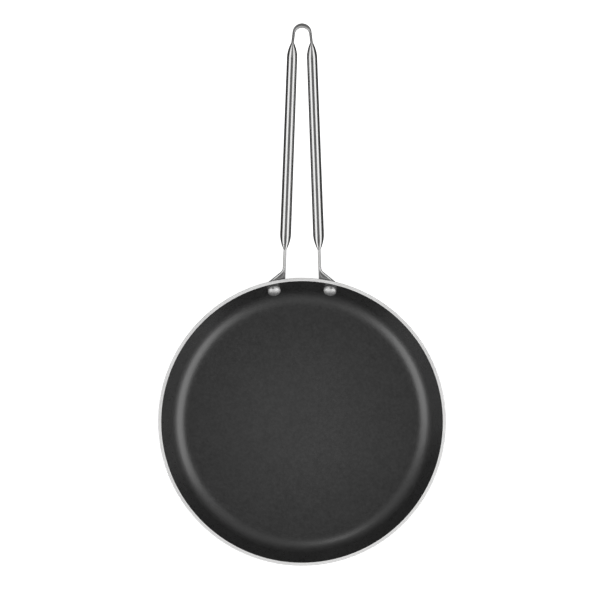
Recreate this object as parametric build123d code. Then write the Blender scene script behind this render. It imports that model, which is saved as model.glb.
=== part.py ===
from build123d import *
import os
from math import acos, asin, cos, degrees, pi, radians, sin, tan

# A shallow crepe pan: a pressed aluminium dish with a black nonstick lining, and a handle made of
# one steel tube, pressed flat at its two feet and at its hanging loop and riveted to the flared wall.
# Millimetres. The origin is the middle of the base's underside, +Z is up, the handle points to +Y.

# Dish
pan_diameter = 240.0
pan_height = 22.0
base_thickness = 3.0
wall_thickness = 2.5
wall_slope = 55.0
corner_radius = 18.0
rim_round = 0.5

# Shallow turned rings under the base
ring_count = 9
first_ring_radius = 24.0
ring_margin = 10.0
ring_depth = 0.3
ring_tool_radius = 0.9

# Nonstick lining
lining_thickness = 0.25

# Rivets
rivet_spacing = 47.0
rivet_drop = 6.0
head_diameter = 10.7
head_height = 5.2
head_waist = 1.4
head_edge_radius = 2.6
shank_diameter = 6.0
shank_clearance = 0.05
tail_diameter = 9.4
tail_height = 2.2
tail_edge_radius = 1.2
top_flat_diameter = 0.6

# Handle tube
tube_diameter = 9.2
tube_wall = 1.0
grip_thickness = 9.1
grip_end_thickness = 8.5
strip_slack = 0.4
handle_tilt = 14.0
leg_spacing = 30.1
leg_slant = 2.12
fold_radius = 1.6
strip_length = 25.0
grip_length = 172.3
taper_length = 12.0
taper_sections = 8
bore_start_share = 0.06
fold_sections = 8
knee_radius = 20.0
neck_slant = 6.8
neck_length = 7.0

# How far a cutting tool runs past what it cuts
overrun = 5.0

# Places on the wall, all in the plane through the pan's axis and a rivet
slope = radians(wall_slope)
rim_corner = pan_diameter / 2 + rim_round * (1 / tan(slope / 2) - 1)
inner_rim = rim_corner - wall_thickness / sin(slope)
lined_rim = inner_rim - lining_thickness / sin(slope)


def wall_foot(floor, rim, bend):
    """Radius and height where the rounded corner runs out into the straight wall."""
    height = floor + bend * (1 - cos(slope))
    return rim - (pan_height - height) / tan(slope), height


def flat_radius(floor, rim, bend):
    """Radius where the flat middle of one surface of the dish ends and its rounded corner starts."""
    return wall_foot(floor, rim, bend)[0] - bend * sin(slope)


def side_lines(floor, rim, bend):
    """The floor, the rounded corner and the wall of one surface of the dish, from the axis to the rim."""
    corner = (flat_radius(floor, rim, bend), floor)
    level = Line((0, floor), corner)
    bend_arc = JernArc(corner, (1, 0), bend, wall_slope)
    wall = Line(wall_foot(floor, rim, bend), (rim, pan_height))
    return [level, bend_arc, wall]


def round_solid(lines):
    """The solid that a closed outline beside the axis makes when it turns round the axis."""
    return revolve(Plane.XZ * make_face(Wire(lines).edges()), Axis.Z)


def shell(lower, upper):
    """A revolved layer of the dish between two surfaces, each given as (floor, rim, bend)."""
    low, high = side_lines(*lower), side_lines(*upper)
    rim_edge = Line((lower[1], pan_height), (upper[1], pan_height))
    on_axis = Line((0, lower[0]), (0, upper[0]))
    return round_solid([*low, rim_edge, *high, on_axis])


outer_surface = (0, rim_corner, corner_radius + lining_thickness + wall_thickness)
inner_surface = (base_thickness, inner_rim, corner_radius + lining_thickness)
lined_surface = (base_thickness + lining_thickness, lined_rim, corner_radius)

# The rivets stand square on the straight part of the lined wall, a little below the rim
rivet_height = pan_height - rivet_drop
rivet_radius = lined_rim - rivet_drop / tan(slope)
rivet_turn = asin(rivet_spacing / 2 / rivet_radius)
outward = Vector(sin(rivet_turn), cos(rivet_turn), 0)
up = Vector(0, 0, 1)
wall_out = outward * sin(slope) - up * cos(slope)
rivet_seat = outward * rivet_radius + up * rivet_height
foot_face = rivet_seat + wall_out * (lining_thickness + wall_thickness)

# The handle's sections keep the tube's outline length, so a flatter one is wider. The loop is pressed
# until the walls meet, the strips and feet of the legs a little less.
loop_thickness = 2 * tube_wall
strip_thickness = loop_thickness + strip_slack


def tube_width(thickness):
    return thickness + pi * (tube_diameter - thickness) / 2


strip_width = tube_width(strip_thickness)

# Directions of the right leg: square to the handle's plane, along the leg, and out of its strip's face
tilt, slant = radians(handle_tilt), radians(leg_slant)
handle_up = Vector(0, -sin(tilt), cos(tilt))
handle_out = Vector(0, cos(tilt), sin(tilt))
leg_up = handle_out * cos(slant) - Vector(1, 0, 0) * sin(slant)
down_leg = leg_up * -1
leg_face = handle_up.cross(down_leg)

# The fold turns the strip off the leg's plane on to the wall, about a line that lies in both planes
fold_line = leg_face.cross(wall_out).normalized()
fold_angle = acos(leg_face.dot(wall_out))
from_leg = fold_line.cross(leg_face)
to_rivet = wall_out.cross(fold_line)
lead = acos(leg_up.dot(fold_line))
down_foot = to_rivet * sin(lead) - fold_line * cos(lead)
fold_middle = fold_radius + strip_thickness / 2
setback = fold_middle * tan(fold_angle / 2)
slip = fold_middle * fold_angle / tan(lead)

# The sharp corner that the fold rounds off, placed so that the foot's middle line meets the rivet
foot_middle = foot_face + wall_out * (strip_thickness / 2)
shift = 2 * setback / tan(lead) - slip
corner_to_rivet = (foot_middle.X - fold_line.X * shift - leg_spacing / 2) / down_foot.X
fold_corner = foot_middle - fold_line * shift - down_foot * corner_to_rivet
handle_plane = Plane(origin=(0, fold_corner.Y, fold_corner.Z), x_dir=(1, 0, 0), z_dir=handle_up)

# The two ends of the right grip, where the tube is pressed flat
lower_tip = fold_corner + leg_up * strip_length
upper_tip = lower_tip + leg_up * grip_length


def tube_section(middle, along, across, thickness, inset=0):
    """The tube's outline square to its length, pressed to a thickness. An inset gives the bore."""
    width = tube_width(thickness)
    place = Plane(origin=middle, x_dir=across, z_dir=along)
    return place * SlotOverall(width - 2 * inset, thickness - 2 * inset)


def taper(tip, along, tip_thickness, full_thickness, first_share, inset):
    """The swelling end of a grip, from its pressed tip along the leg to its full thickness."""
    sections = []
    for i in range(taper_sections):
        share = first_share + (1 - first_share) * i / (taper_sections - 1)
        thickness = tip_thickness + (full_thickness - tip_thickness) * (1 - (1 - share) ** 2)
        middle = tip + along * (taper_length * share)
        sections.append(tube_section(middle, along, handle_up, thickness, inset).face())
    return loft(sections)


def grip_solid(first_share=0.0, inset=0.0):
    """One grip with its two tapers. With an inset it is the bore, which starts a little inside the tips."""
    lower = taper(lower_tip, leg_up, strip_thickness, grip_thickness, first_share, inset)
    upper = taper(upper_tip, down_leg, loop_thickness, grip_end_thickness, first_share, inset)
    ends = [
        tube_section(lower_tip + leg_up * taper_length, leg_up, handle_up, grip_thickness, inset),
        tube_section(upper_tip + down_leg * taper_length, leg_up, handle_up, grip_end_thickness, inset),
    ]
    barrel = loft([end.face() for end in ends], ruled=True)
    return lower + barrel + upper


def beyond(origin, direction):
    """A block that fills the side of a plane that the direction points to, round the foot."""
    reach = 2 * (strip_length + strip_width)
    return Plane(origin=origin, z_dir=direction) * Box(
        reach, reach, reach, align=(Align.CENTER, Align.CENTER, Align.MIN)
    )


def folded_foot():
    """The flat strip from the grip to the fold, the fold, and the foot with its round end."""
    axis_point = fold_corner + (leg_face + wall_out) * (fold_middle / (1 + leg_face.dot(wall_out)))
    leg_edge = axis_point - leg_face * fold_middle
    foot_edge = axis_point - wall_out * fold_middle

    strip = extrude(
        tube_section(lower_tip, down_leg, handle_up, strip_thickness).face(),
        amount=strip_length + strip_width,
        dir=down_leg,
    )
    strip = strip - beyond(leg_edge, from_leg * -1)

    across_foot = wall_out.cross(down_foot)
    foot = extrude(
        tube_section(foot_middle, down_foot, across_foot, strip_thickness).face(),
        amount=corner_to_rivet + strip_width,
        dir=down_foot * -1,
    )
    foot = foot - beyond(foot_edge, to_rivet * -1)

    cut = strip.faces().sort_by(lambda face: (face.center() - leg_edge).dot(from_leg))[0]
    sections = []
    for i in range(fold_sections + 1):
        share = i / fold_sections
        bent = cut.rotate(Axis(axis_point, fold_line), degrees(fold_angle) * share)
        sections.append(bent.translate(fold_line * (-slip * share)))
    fold = loft(sections)

    end_plane = Plane(origin=foot_middle, x_dir=across_foot, z_dir=down_foot)
    half = end_plane * (
        SlotOverall(strip_width, strip_thickness)
        & Rectangle(strip_width, strip_thickness + overrun, align=(Align.MIN, Align.CENTER))
    )
    round_end = revolve(half, Axis(foot_middle, wall_out * -1), 180)
    return strip + fold + foot + round_end


def loop_solid():
    """The flat strip between the two grips: knee, neck and bow, and the same on the other side."""
    start = handle_plane.to_local_coords(upper_tip)
    knee = JernArc((start.X, start.Y), (-sin(slant), cos(slant)), knee_radius, neck_slant - leg_slant)
    lean = radians(neck_slant)
    neck = Line(knee @ 1, (knee @ 1) + Vector(-sin(lean), cos(lean)) * neck_length)
    bow_radius = (neck @ 1).X / cos(lean)
    bow = JernArc(neck @ 1, neck % 1, bow_radius, 180 - 2 * neck_slant)
    other_side = [mirror(line, about=Plane.YZ) for line in (neck, knee)]
    path = handle_plane * Wire([knee.edge(), neck.edge(), bow.edge(), *[line.edge() for line in other_side]])
    section = tube_section(upper_tip, leg_up, handle_up, loop_thickness)
    return sweep(section, path=path)


def pan_body():
    """The dish itself, with its outer rim edge rounded and the rings turned into its underside."""
    body = shell(outer_surface, inner_surface)
    sharp = body.edges().filter_by(GeomType.CIRCLE).sort_by(lambda edge: edge.radius)[-1]
    body = fillet(sharp, rim_round)
    pitch = (flat_radius(*outer_surface) - ring_margin - first_ring_radius) / (ring_count - 1)
    for i in range(ring_count):
        place = Pos(first_ring_radius + pitch * i, 0, ring_depth - ring_tool_radius)
        body = body - revolve(place * Plane.XZ * Circle(ring_tool_radius), Axis.Z)
    return body


def both_sides(piece):
    """A piece of the right side and its mirror image on the left."""
    return [piece, mirror(piece, about=Plane.YZ)]


def shank_holes():
    """Round tools for the holes that both rivets pass through."""
    length = 2 * (lining_thickness + wall_thickness + strip_thickness + overrun)
    hole = Plane(origin=rivet_seat, z_dir=wall_out) * Cylinder(shank_diameter / 2 + shank_clearance, length)
    return both_sides(hole)


def domed_button(half, waist, height, edge, start_angle):
    """A round button standing up from the XY plane: an arc round its edge, then a flatter crown."""
    rise = height - waist
    crown = (half**2 + rise**2 - 2 * half * edge) / (2 * (rise - edge))
    turn = degrees(asin((half - edge) / (crown - edge)))
    level_turn = degrees(asin(top_flat_diameter / 2 / crown))
    side = CenterArc((half - edge, waist), edge, start_angle, 90 - turn - start_angle)
    top = CenterArc((0, height - crown), crown, 90 - turn, turn - level_turn)
    low, high = side @ 0, top @ 1
    across = Line((0, low.Y), low)
    level = Line(high, (0, high.Y))
    on_axis = Line((0, high.Y), (0, low.Y))
    return round_solid([across, side, top, level, on_axis])


def rivet():
    """A domed head inside the dish, a shank through wall and foot, and a flatter tail outside."""
    metal = lining_thickness + wall_thickness
    inward = Plane(origin=rivet_seat, z_dir=wall_out * -1)
    outside = Plane(origin=foot_face + wall_out * strip_thickness, z_dir=wall_out)
    head = inward * domed_button(head_diameter / 2, head_waist, head_height, head_edge_radius, -90)
    head = head - shell(outer_surface, lined_surface)
    length = head_waist + metal + strip_thickness
    shank = outside * Cylinder(shank_diameter / 2, length, align=(Align.CENTER, Align.CENTER, Align.MAX))
    tail = outside * domed_button(tail_diameter / 2, 0, tail_height, tail_edge_radius, 0)
    return head + shank + tail


def handle():
    """The whole bent tube: two legs, each a folded foot and a hollow grip, and the loop that joins them."""
    leg = folded_foot() + (grip_solid() - grip_solid(bore_start_share, tube_wall))
    whole = loop_solid()
    for side in both_sides(leg):
        whole = whole + side
    return whole


def drilled(piece):
    """A piece with the holes for both rivets' shanks."""
    for hole in shank_holes():
        piece = piece - hole
    return piece


right_rivet = rivet()
nodes = {
    "pan_body": drilled(pan_body()),
    "nonstick_lining": drilled(shell(inner_surface, lined_surface)),
    "handle": drilled(handle()),
    "rivet_right": right_rivet,
    "rivet_left": mirror(right_rivet, about=Plane.YZ),
}

os.makedirs("parts", exist_ok=True)
for name, shape in nodes.items():
    export_step(shape, f"parts/{name}.step")
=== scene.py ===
import math

import bmesh
import bpy
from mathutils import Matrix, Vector

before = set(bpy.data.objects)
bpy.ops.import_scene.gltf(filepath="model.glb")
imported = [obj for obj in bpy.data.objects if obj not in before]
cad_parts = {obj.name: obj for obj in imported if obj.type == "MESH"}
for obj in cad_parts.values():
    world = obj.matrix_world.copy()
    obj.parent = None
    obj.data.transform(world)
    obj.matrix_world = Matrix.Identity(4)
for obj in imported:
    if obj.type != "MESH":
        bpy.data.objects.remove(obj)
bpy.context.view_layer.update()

scene = bpy.context.scene


# Places on the pan, in metres. Heights are above the base's underside and radii are from the
# dish's upright middle line. An end or a start is a level distance from that line towards the
# handle. A pair says where a mask starts to change and where it is done. The head's mark is a
# point on the right rivet, mirrored on the left one.

RIM_HEIGHT = 0.022
RIM_EDGE_HEIGHTS = (0.0205, 0.0212)

# Radii over which the coating's painted pool of light, paler in the middle, fades out
CENTRE_LIGHT_RADII = (0.015, 0.1)
WALL_RADII = (0.104, 0.108)
CORNER_INNER_RADII = (0.104, 0.1065)
CORNER_OUTER_RADII = (0.108, 0.1105)

HANDLE_RISE = math.radians(14.0)
FOOT_END = (0.1235, 0.1275)
STRIP_END = (0.143, 0.149)
LOOP_START = (0.309, 0.313)
BOW_START = (0.319, 0.323)
CROOK_RADII = (0.1205, 0.1222)
INNER_EDGE_END = (0.1238, 0.1252)
INNER_EDGE_HALF_GAP = (0.0148, 0.0158)

# The spot near the top of each rivet head: a small dent, with a painted dark reflection in its
# colour
HEAD_MARK = (0.02425, 0.1117, 0.0213)
HEAD_MARK_SPREAD = (0.0006, 0.0017)
# Where the painted reflection of the dark pan on the rivets' lower edge ends, and how ragged its
# edge is
PAINTED_REFLECTION_END = (0.1076, 0.1112)
PAINTED_REFLECTION_RAGGEDNESS = 0.002


# Shader maths as Python expressions

# A Mix node's colour sockets go by number, because other sockets of it have the same names
MIX_FACTOR, MIX_LOW, MIX_HIGH, MIX_RESULT = 0, 6, 7, 2


class Value:
    """A node's output. Arithmetic on it adds Math nodes."""

    def __init__(self, tree, socket):
        self.tree = tree
        self.socket = socket

    def node(self, kind, settings=None, sockets=None, output=0):
        """Any other node, with its settings, and its sockets' values or links."""
        made = self.tree.nodes.new(kind)
        for name, setting in (settings or {}).items():
            setattr(made, name, setting)
        for name, source in (sockets or {}).items():
            if isinstance(source, Value):
                self.tree.links.new(source.socket, made.inputs[name])
            else:
                made.inputs[name].default_value = source
        return Value(self.tree, made.outputs[output] if made.outputs else None)

    def maths(self, operation, *terms):
        return self.node("ShaderNodeMath", {"operation": operation}, dict(enumerate(terms)))

    def vector_maths(self, operation, *terms, output="Vector"):
        settings = {"operation": operation}
        return self.node("ShaderNodeVectorMath", settings, dict(enumerate(terms)), output)

    def __add__(self, other):
        return self.maths("ADD", self, other)

    def __rsub__(self, other):
        return self.maths("SUBTRACT", other, self)

    def __mul__(self, other):
        return self.maths("MULTIPLY", self, other)

    def __abs__(self):
        return self.maths("ABSOLUTE", self)

    def step(self, start, end):
        """Rises smoothly from 0 at start to 1 at end."""
        return self.node(
            "ShaderNodeMapRange",
            {"interpolation_type": "SMOOTHSTEP"},
            {"Value": self, "From Min": start, "From Max": end},
        )

    def noise(self, scale, detail=3.0, dimensions="3D"):
        """Even noise round 0.5 over these coordinates, with about scale lumps to the metre."""
        sockets = {"Scale": scale, "Detail": detail}
        sockets["W" if dimensions == "1D" else "Vector"] = self
        return self.node("ShaderNodeTexNoise", {"noise_dimensions": dimensions}, sockets)

    def stretched(self, scale, turn=(0.0, 0.0, 0.0)):
        """These coordinates scaled along each axis, and then turned."""
        sockets = {"Vector": self, "Rotation": turn, "Scale": scale}
        return self.node("ShaderNodeMapping", {"vector_type": "POINT"}, sockets)

    def part(self, axis):
        """One of the three coordinates."""
        return self.node("ShaderNodeSeparateXYZ", sockets={"Vector": self}, output=axis)

    def from_axis(self):
        """Distance from the dish's upright middle line."""
        flat = self.vector_maths("MULTIPLY", self, (1.0, 1.0, 0.0))
        return flat.vector_maths("LENGTH", flat, output="Value")

    def distance_to(self, point):
        """Distance from this point, and from its mirror image on the handle's other side."""
        folded = self.vector_maths("ABSOLUTE", self)
        return folded.vector_maths("DISTANCE", folded, point, output="Value")

    def blend(self, low, high):
        """The colour low where this is 0 and high where it is 1."""
        return self.node(
            "ShaderNodeMix",
            {"data_type": "RGBA"},
            {MIX_FACTOR: self, MIX_LOW: low, MIX_HIGH: high},
            output=MIX_RESULT,
        )

    def choose(self, shader_off, shader_on):
        """The one shader where this is 0 and the other where it is 1."""
        sockets = dict(enumerate((self, shader_off, shader_on)))
        return self.node("ShaderNodeMixShader", sockets=sockets)


def total(shares, masks):
    """The base share, and each mask that the shares name times its own share."""
    level = shares["base"]
    for name, share in shares.items():
        if name != "base":
            level = masks[name] * share + level
    return level


def grey(level, warmth=0.0):
    """A grey of this level. The warmth is the share by which red is raised and blue lowered."""
    return (level * (1 + warmth), level, level * (1 - warmth), 1.0)


def new_finish(name):
    """A new material without nodes, and the coordinates of the object that wears it, in metres."""
    material = bpy.data.materials.new(name)
    material.use_nodes = True
    tree = material.node_tree
    tree.nodes.clear()
    return material, Value(tree, tree.nodes.new("ShaderNodeTexCoord").outputs["Object"])


def close(material, place, colour, roughness, relief, depth, **even):
    """Ends the material in a Principled shader.

    Colour and roughness vary over it, as does the relief, which is depth metres deep. What is
    even all over is set on the shader's own sockets."""
    bump = place.node(
        "ShaderNodeBump", sockets={"Strength": 1.0, "Distance": depth, "Height": relief}
    )
    sockets = {"Base Color": colour, "Roughness": roughness, "Normal": bump}
    sockets.update(even)
    shader = place.node("ShaderNodeBsdfPrincipled", sockets=sockets)
    place.node("ShaderNodeOutputMaterial", sockets={"Surface": shader})
    return material


# Finishes. Each has a dark and a bright colour with a table of what moves it between them, a
# table for its roughness, and the depth of its relief in metres.

ALUMINIUM_DARK = grey(0.64)
ALUMINIUM_BRIGHT = grey(1.0, 0.004)
# The rim's share paints the rim's colour brighter, a painted highlight.
ALUMINIUM_SHADE = {"base": 0.0, "streaks": 0.6, "rim": 0.6}
ALUMINIUM_ROUGHNESS = {"base": 0.3, "rings": 0.14, "bands": 0.08, "clouds": 0.06, "rim": 0.3}
ALUMINIUM_STREAKS = {"base": 0.0, "clouds": 0.5, "rings": 0.5}
STREAK_LEVELS = (0.25, 0.75)
RING_WANDER = 0.0004
RING_DEPTH = 0.00003


def spun_aluminium():
    """Bare pressed aluminium, turned on a lathe: fine rings round the dish's middle, and a
    rougher rim whose colour is painted brighter, a painted highlight."""
    material, place = new_finish("spun_aluminium")
    radius = place.from_axis()
    wander = place.noise(scale=9.0, detail=1.0)
    masks = {
        "rings": (radius + wander * RING_WANDER).noise(scale=1900.0, dimensions="1D"),
        "bands": radius.noise(scale=160.0, detail=2.0, dimensions="1D"),
        "clouds": place.noise(scale=26.0, detail=4.0),
        "rim": place.part("Z").step(*RIM_EDGE_HEIGHTS),
    }
    masks["streaks"] = total(ALUMINIUM_STREAKS, masks).step(*STREAK_LEVELS)
    colour = total(ALUMINIUM_SHADE, masks).blend(ALUMINIUM_DARK, ALUMINIUM_BRIGHT)
    roughness = total(ALUMINIUM_ROUGHNESS, masks)
    return close(material, place, colour, roughness, masks["rings"], RING_DEPTH, Metallic=1.0)


COATING_DARK = grey(0.002)
COATING_PALE = grey(0.033)
# In the coating's shade, the middle's share is a painted pool of light.
COATING_SHADE = {
    "base": -0.5, "grain": 0.4, "mottle": 0.65, "blotches": 0.4, "painted_centre_light": 0.5, "wall": 0.1,
}
COATING_ROUGHNESS = {
    "base": 0.22, "grain": 0.07, "mottle": 0.12, "clouds": 0.03, "corner": 0.12, "wall": -0.04,
}
COATING_SHINE = {"IOR": 1.9, "Specular IOR Level": 0.53}
GRAIN_DEPTH = 0.00004


def nonstick_black():
    """Baked nonstick coating: near black with a fine grain and a soft shine, and duller in the
    corner. Its colour is painted paler in the middle, a painted pool of light."""
    material, place = new_finish("nonstick_black")
    radius = place.from_axis()
    corner_end = radius.step(*CORNER_OUTER_RADII)
    masks = {
        "grain": place.noise(scale=1500.0, detail=4.0),
        "mottle": place.noise(scale=420.0),
        "blotches": place.noise(scale=110.0),
        "clouds": place.noise(scale=16.0),
        # painted pool of light: the coating's colour is paler towards the middle
        "painted_centre_light": 1 - radius.step(*CENTRE_LIGHT_RADII),
        # the wall's colour is painted a little paler, painted light that lifts its shade; the wall
        # is also a little smoother
        "wall": radius.step(*WALL_RADII),
        "corner": radius.step(*CORNER_INNER_RADII) * (1 - corner_end),
    }
    colour = total(COATING_SHADE, masks).blend(COATING_DARK, COATING_PALE)
    roughness = total(COATING_ROUGHNESS, masks)
    return close(material, place, colour, roughness, masks["grain"], GRAIN_DEPTH, **COATING_SHINE)


STEEL_DARK = grey(0.03)
STEEL_BRIGHT = grey(0.95, 0.004)
# In the steel's shade, the bow's share lifts the bow's colour, a painted highlight.
STEEL_SHADE = {
    "base": 0.37, "lines": 0.16, "foot": 0.05, "strip": 0.08, "bow": 0.45, "painted_shade": -0.36,
}
# Painted shade: the crook by the pan's wall, the feet's inner edges and the loop are painted
# darker.
STEEL_PAINTED_SHADE = {"base": 0.0, "loop": 0.75, "crook": 0.7, "inner_edge": 0.6}
STEEL_ROUGHNESS = {
    "base": 0.07, "lines": 0.1, "smears": 0.05, "loop": 0.2, "bow": 0.25, "foot": 0.2,
}
LINES_TO_THE_METRE = (5200.0, 55.0, 5200.0)
SMEARS_TO_THE_METRE = (90.0, 30.0, 90.0)
SMEAR_LEVELS = (0.45, 0.7)
LINE_DEPTH = 0.000006


def drawn_steel():
    """Polished stainless tube: faint drawing lines and a few wiped smears. It is rougher where it
    was pressed. Painted shade darkens its colour in the folds and round the loop, and a painted
    highlight brightens the bow."""
    material, place = new_finish("drawn_steel")
    along = place.part("Y")
    aside = abs(place.part("X"))
    bow = along.step(*BOW_START)
    smears = place.stretched(SMEARS_TO_THE_METRE).noise(scale=1.0)
    beside_gap = 1 - aside.step(*INNER_EDGE_HALF_GAP)
    masks = {
        "lines": place.stretched(LINES_TO_THE_METRE, (-HANDLE_RISE, 0.0, 0.0)).noise(scale=1.0),
        "smears": smears.step(*SMEAR_LEVELS),
        "foot": 1 - along.step(*FOOT_END),
        "strip": 1 - along.step(*STRIP_END),
        "loop": along.step(*LOOP_START) * (1 - bow),
        "bow": bow,
        # crook and inner_edge are painted shade: where the feet meet the pan's wall, and along the
        # feet's inner edges
        "crook": 1 - place.from_axis().step(*CROOK_RADII),
        "inner_edge": beside_gap * (1 - along.step(*INNER_EDGE_END)),
    }
    # the painted shade that darkens the steel's colour
    masks["painted_shade"] = total(STEEL_PAINTED_SHADE, masks)
    colour = total(STEEL_SHADE, masks).blend(STEEL_DARK, STEEL_BRIGHT)
    roughness = total(STEEL_ROUGHNESS, masks)
    return close(material, place, colour, roughness, masks["lines"], LINE_DEPTH, Metallic=1.0)


RIVET_DARK = grey(0.1)
RIVET_BRIGHT = grey(1.0, 0.004)
# In the rivets' shade, the mark and the lower edge are painted reflections that darken the colour.
RIVET_SHADE = {"base": 0.77, "scuffs": 0.25, "mark": -0.55, "painted_reflection": -0.5}
RIVET_ROUGHNESS = {"base": 0.54, "scuffs": 0.12, "dents": 0.08}
RIVET_RELIEF = {"base": 0.0, "dents": 1.0, "mark": -0.7}
DENT_DEPTH = 0.00006


def peened_steel():
    """Rivets of bright steel, with the tool's dents and one dark mark near the top of each head,
    which is a small dent with a painted dark reflection in its colour. A painted reflection of
    the dark pan darkens the lower edge of each head."""
    material, place = new_finish("peened_steel")
    scuffs = place.noise(scale=2600.0)
    ragged = place.part("Y") + scuffs * PAINTED_REFLECTION_RAGGEDNESS
    masks = {
        "dents": place.noise(scale=700.0, detail=2.0),
        "scuffs": scuffs,
        # a small dent in the relief, and a painted dark reflection in the colour
        "mark": 1 - place.distance_to(HEAD_MARK).step(*HEAD_MARK_SPREAD),
        # painted reflection of the dark pan: the head's colour is darker towards its lower edge
        "painted_reflection": 1 - ragged.step(*PAINTED_REFLECTION_END),
    }
    colour = total(RIVET_SHADE, masks).blend(RIVET_DARK, RIVET_BRIGHT)
    roughness = total(RIVET_ROUGHNESS, masks)
    relief = total(RIVET_RELIEF, masks)
    return close(material, place, colour, roughness, relief, DENT_DEPTH, Metallic=1.0)


def paint(node, material):
    """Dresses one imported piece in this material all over."""
    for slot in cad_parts[node].material_slots:
        slot.material = material


rivet_finish = peened_steel()
paint("pan_body", spun_aluminium())
paint("nonstick_lining", nonstick_black())
paint("handle", drawn_steel())
paint("rivet_left", rivet_finish)
paint("rivet_right", rivet_finish)


# Studio: a white floor, a large soft light on each side, a small one behind, and a pale surround

PICTURE_SIDE = 600
PIXELS_PER_METRE = 1200.0
CAMERA_ABOVE_RIM = 2.6
CAMERA_AT = (-0.0017, 0.1016)
SENSOR_WIDTH = 36.0
NEAREST, FARTHEST = 0.05, 60.0

# The surround's strength: to matt surfaces, to the camera, and in reflections, where it is pale
# half way up. Its bands are heights on a ball of radius 1 round the scene.
SURROUND_ON_MATT = 0.45
SURROUND_SEEN = 1.0
SURROUND_MIRRORED = {"base": 0.08, "half_way_up": 0.32, "overhead": -0.2}
HALF_WAY_UP = (0.15, 0.45)
OVERHEAD = (0.78, 0.94)

FLOOR_SIZE = 8.0
FLOOR_GLOW = 0.75
FLOOR_ROUGHNESS = 0.9
FLOOR_WHITE = grey(0.78)
MIRRORED_FLOOR_NEAR = grey(0.46)
MIRRORED_FLOOR_FAR = grey(0.09)
NEAR_RADII = (0.12, 0.135)


def make_camera():
    """Straight above the pan, looking down."""
    data = bpy.data.cameras.new("camera")
    data.sensor_width = SENSOR_WIDTH
    data.lens = SENSOR_WIDTH * PIXELS_PER_METRE * CAMERA_ABOVE_RIM / PICTURE_SIDE
    data.clip_start = NEAREST
    data.clip_end = FARTHEST
    camera = bpy.data.objects.new("camera", data)
    camera.location = (*CAMERA_AT, RIM_HEIGHT + CAMERA_ABOVE_RIM)
    scene.collection.objects.link(camera)
    scene.camera = camera


def soft_light(name, centre, facing, width, height, radiance):
    """A rectangular soft light of this size, its middle at centre, shining along facing."""
    data = bpy.data.lights.new(name, "AREA")
    data.shape = "RECTANGLE"
    data.size = width
    data.size_y = height
    data.energy = radiance * math.pi * width * height
    light = bpy.data.objects.new(name, data)
    light.location = centre
    light.rotation_mode = "QUATERNION"
    light.rotation_quaternion = Vector(facing).to_track_quat("-Z", "Y")
    light.visible_camera = False
    scene.collection.objects.link(light)


def make_lights():
    soft_light(
        "right_wall_light", centre=(1.1, -0.5, 1.2), facing=(-1.0, 0.0, 0.0),
        width=2.0, height=1.6, radiance=1.6,
    )
    soft_light(
        "left_wall_light", centre=(-1.1, -0.63, 1.2), facing=(1.0, 0.0, 0.0),
        width=1.5, height=1.6, radiance=1.6,
    )
    soft_light(
        "back_light", centre=(-0.38, 1.17, 1.03), facing=(0.24, -0.73, -0.64),
        width=0.35, height=0.5, radiance=1.5,
    )


def make_surround():
    """Pale to the eye. In reflections it is pale half way up, and dark overhead and low down."""
    world = bpy.data.worlds.new("surround")
    scene.world = world
    world.use_nodes = True
    tree = world.node_tree
    tree.nodes.clear()
    rays = tree.nodes.new("ShaderNodeLightPath")
    seen = Value(tree, rays.outputs["Is Camera Ray"])
    mirrored = Value(tree, rays.outputs["Is Glossy Ray"])
    up = Value(tree, tree.nodes.new("ShaderNodeTexCoord").outputs["Generated"]).part("Z")
    bands = {"half_way_up": up.step(*HALF_WAY_UP), "overhead": up.step(*OVERHEAD)}
    reflected = total(SURROUND_MIRRORED, bands)
    unseen = mirrored * reflected + (1 - mirrored) * SURROUND_ON_MATT
    strength = seen * SURROUND_SEEN + (1 - seen) * unseen
    light = seen.node(
        "ShaderNodeBackground", sockets={"Color": grey(1.0), "Strength": strength}
    )
    light.node("ShaderNodeOutputWorld", sockets={"Surface": light})


def floor_paper():
    """White, lit a little from within as a light table is, and clear from below.

    Reflections show it grey, and dark away from the dish."""
    material, place = new_finish("floor")
    tree = material.node_tree
    rays = tree.nodes.new("ShaderNodeLightPath")
    mirrored = Value(tree, rays.outputs["Is Glossy Ray"])
    from_below = Value(tree, tree.nodes.new("ShaderNodeNewGeometry").outputs["Backfacing"])
    near = 1 - place.from_axis().step(*NEAR_RADII)
    paper = place.node(
        "ShaderNodeBsdfPrincipled",
        sockets={
            "Base Color": FLOOR_WHITE,
            "Roughness": FLOOR_ROUGHNESS,
            "Emission Color": grey(1.0),
            "Emission Strength": FLOOR_GLOW,
        },
    )
    shown = near.blend(MIRRORED_FLOOR_FAR, MIRRORED_FLOOR_NEAR)
    dark = place.node("ShaderNodeEmission", sockets={"Color": shown, "Strength": 1.0})
    clear = place.node("ShaderNodeBsdfTransparent")
    surface = from_below.choose(mirrored.choose(paper, dark), clear)
    place.node("ShaderNodeOutputMaterial", sockets={"Surface": surface})
    return material


def make_floor():
    mesh = bpy.data.meshes.new("floor")
    shape = bmesh.new()
    bmesh.ops.create_grid(shape, x_segments=1, y_segments=1, size=FLOOR_SIZE)
    shape.to_mesh(mesh)
    shape.free()
    mesh.materials.append(floor_paper())
    floor = bpy.data.objects.new("floor", mesh)
    scene.collection.objects.link(floor)


make_camera()
make_lights()
make_surround()
make_floor()
scene.view_settings.view_transform = "Standard"
